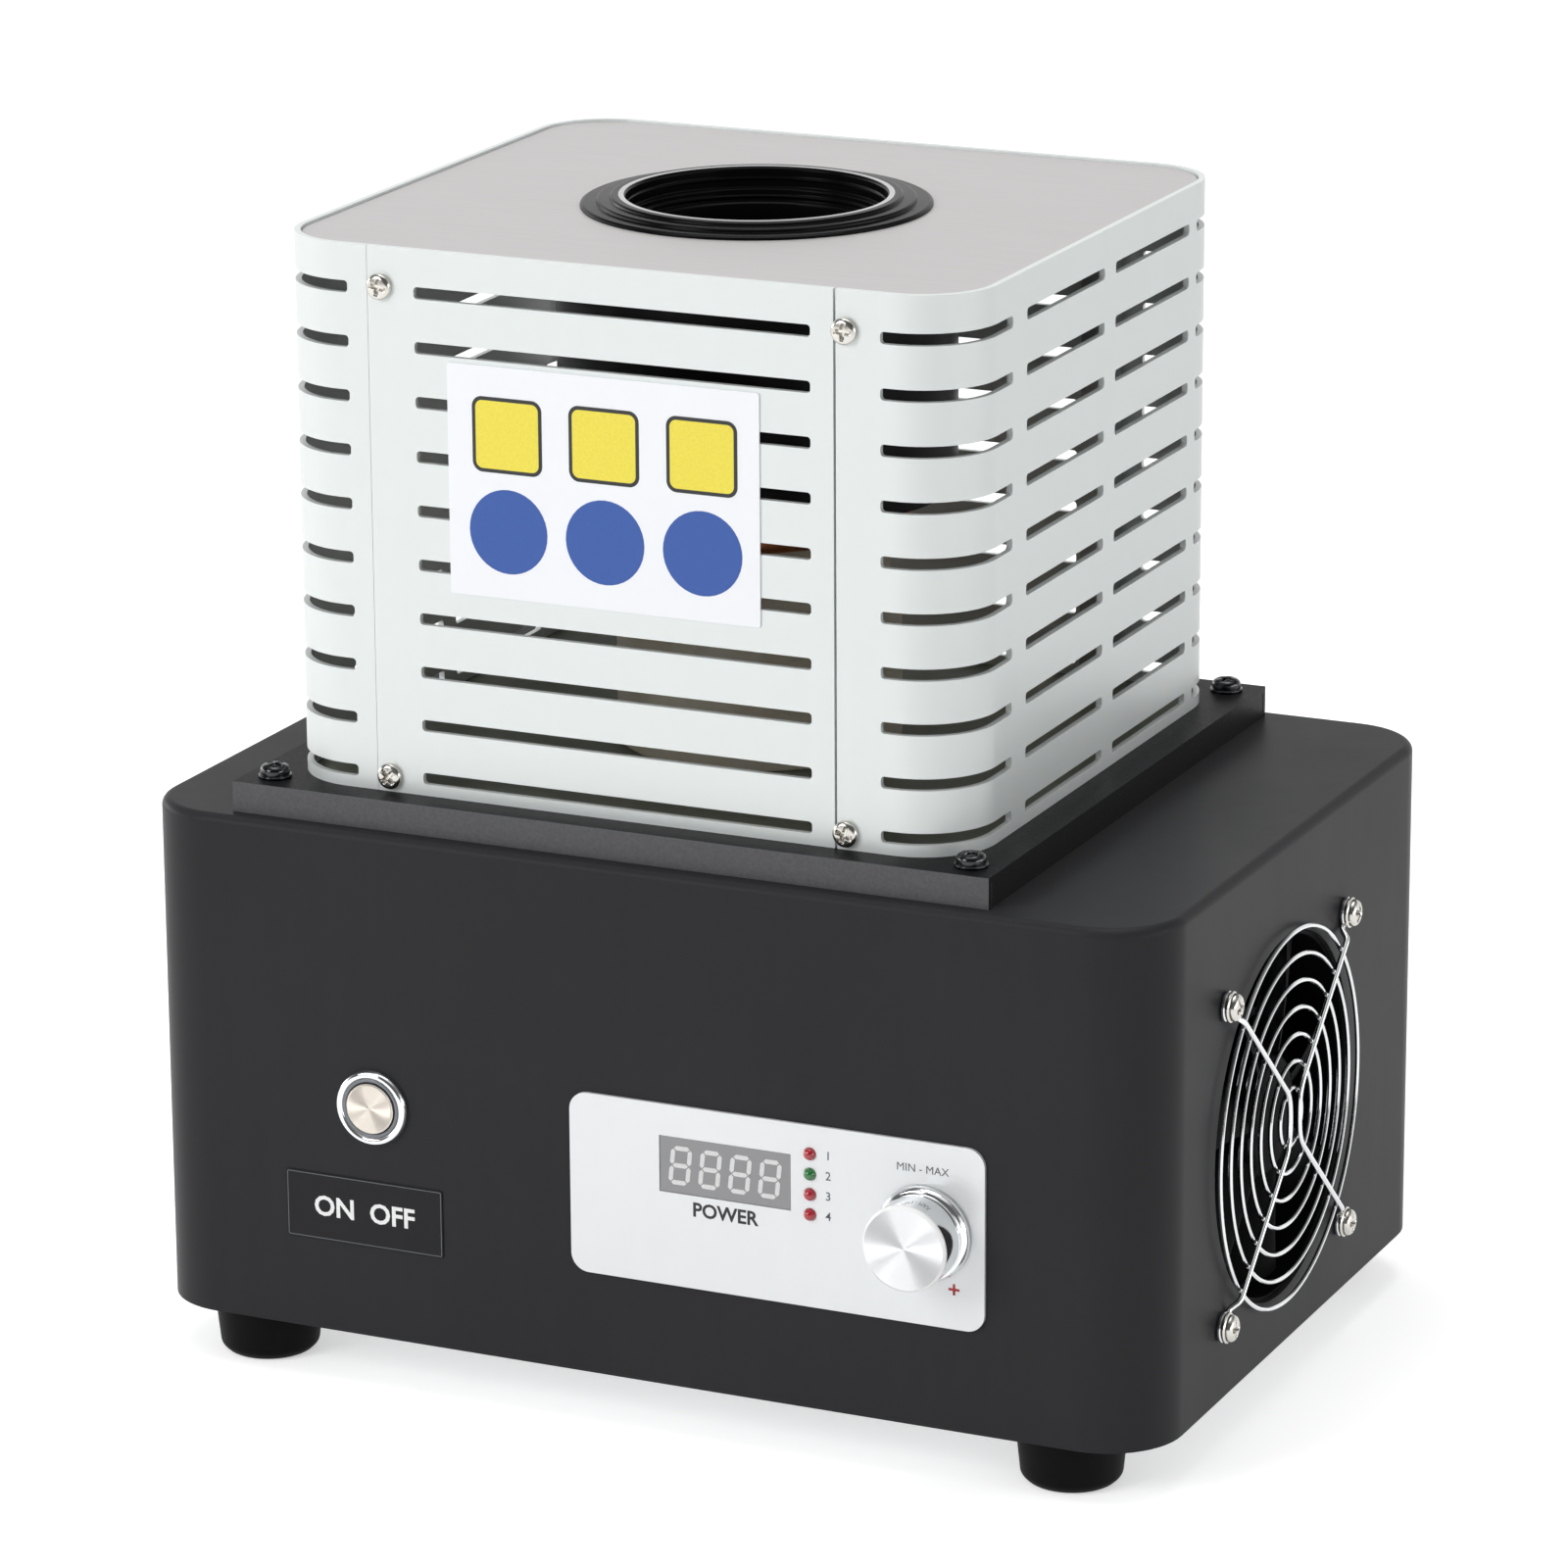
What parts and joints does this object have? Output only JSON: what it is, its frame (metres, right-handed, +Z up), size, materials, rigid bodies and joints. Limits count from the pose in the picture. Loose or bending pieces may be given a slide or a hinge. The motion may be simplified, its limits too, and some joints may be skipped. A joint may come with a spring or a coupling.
{
  "type": "electric gold melting furnace",
  "caption": "Bench-top electric melting furnace: black cabinet with a control panel, push button and side fans, and a slotted silver cage round the coil and crucible under a black collar.",
  "frame": {"origin": "on the bench under the middle of the whole furnace, knob and filler cap included", "axes": "+X along the front to the right, +Y into the depth away from the control panel, +Z up"},
  "size_m": [0.3608, 0.282, 0.3728],
  "materials": {
    "black_powder_coat": "satin powder coat",
    "zinc_steel": "satin",
    "black_rubber": "matte",
    "black_screws": "gloss",
    "black_plastic": "matte",
    "black_textured": "fine texture",
    "silver_paint": "satin",
    "pale_steel": "satin",
    "nickel_screws": "bright",
    "white_plate": "gloss",
    "gloss_black": "gloss",
    "refractory": "matte",
    "copper": "satin",
    "red_fibre": "matte",
    "brass": "satin",
    "faceplate_white": "gloss",
    "display_grey": "gloss",
    "lamp_red": "gloss",
    "board_green": "satin",
    "sign_black": "gloss",
    "chrome_trim": "bright",
    "ring_grey": "satin",
    "chrome_wire": "bright",
    "raw_aluminium": "satin",
    "module_grey": "matte",
    "capacitor_blue": "gloss",
    "transformer_dark": "matte",
    "radiator_black": "matte",
    "tank_white": "satin",
    "graphite": "matte",
    "spun_knob": "spun",
    "spun_cap": "spun",
    "rocker_red": "gloss",
    "rotor_black": "satin"
  },
  "bodies": {
    "cabinet": {"base_shell": "black_powder_coat", "bottom_plate": "zinc_steel", "rubber_feet": "black_rubber", "foot_screws": "zinc_steel", "case_screws": "black_screws", "rear_panel": "black_powder_coat", "power_inlet": "black_plastic", "mains_switch_frame": "black_plastic", "filler_neck": "black_plastic", "mounting_tray": "black_textured", "tray_screws": "black_screws", "cage_shell": "silver_paint", "cage_front_panel": "silver_paint", "cage_top_plate": "pale_steel", "cage_posts": "zinc_steel", "cage_screws": "nickel_screws", "cage_label_plate": "white_plate", "collar_ring": "gloss_black", "coil_barrel": "black_plastic", "refractory_tube": "refractory", "base_brick": "refractory", "induction_coil": "copper", "coil_bushes": "red_fibre", "coil_terminals": "brass", "control_faceplate": "faceplate_white", "display_window": "display_grey", "display_module": "black_plastic", "indicator_lamps": "lamp_red", "control_board": "board_green", "board_standoffs": "zinc_steel", "potentiometer": "zinc_steel", "panel_nuts": "nickel_screws", "switch_label_plate": "sign_black", "button_bezel": "chrome_trim", "button_light_ring": "ring_grey", "button_switch_body": "black_plastic", "right_fan_frame": "black_plastic", "right_fan_guard": "chrome_wire", "left_fan_frame": "black_plastic", "left_fan_guard": "chrome_wire", "fan_screws": "nickel_screws", "heat_sink": "raw_aluminium", "power_modules": "module_grey", "inverter_board": "board_green", "resonant_capacitors": "capacitor_blue", "output_transformer": "transformer_dark", "radiator": "radiator_black", "water_tank": "tank_white", "water_pump": "black_plastic", "coolant_pipes": "copper"},
    "crucible": {"crucible": "graphite"},
    "power_knob": {"power_knob": "spun_knob", "knob_shaft": "brass"},
    "button_cap": {"button_cap": "spun_cap"},
    "mains_rocker": {"mains_rocker": "rocker_red"},
    "filler_cap": {"filler_cap": "black_plastic"},
    "right_fan_rotor": {"right_fan_rotor": "rotor_black"},
    "left_fan_rotor": {"left_fan_rotor": "rotor_black"}
  },
  "joints": [
    {"name": "crucible_lift", "type": "slide", "parent": "cabinet", "child": "crucible", "axis": [0, 0, 1], "range_m": [0, 0.12]},
    {"name": "knob_turn", "type": "hinge", "parent": "cabinet", "child": "power_knob", "pos_m": [0.1002, -0.13, 0.0813], "axis": [0, 1, 0], "range_deg": [0, 270]},
    {"name": "button_press", "type": "slide", "parent": "cabinet", "child": "button_cap", "axis": [0, 1, 0], "range_m": [0, 0.0025], "stiffness_N_per_m": 400, "springref_m": -0.001},
    {"name": "mains_switch", "type": "hinge", "parent": "cabinet", "child": "mains_rocker", "pos_m": [0.07, 0.1245, 0.113], "axis": [1, 0, 0], "range_deg": [0, 20]},
    {"name": "filler_cap_pull", "type": "slide", "parent": "cabinet", "child": "filler_cap", "axis": [0, 1, 0], "range_m": [0, 0.05]},
    {"name": "right_fan_spin", "type": "hinge", "parent": "cabinet", "child": "right_fan_rotor", "pos_m": [0.16, -0.013, 0.094], "axis": [1, 0, 0], "continuous": true},
    {"name": "left_fan_spin", "type": "hinge", "parent": "cabinet", "child": "left_fan_rotor", "pos_m": [-0.16, -0.013, 0.094], "axis": [-1, 0, 0], "continuous": true}
  ]
}
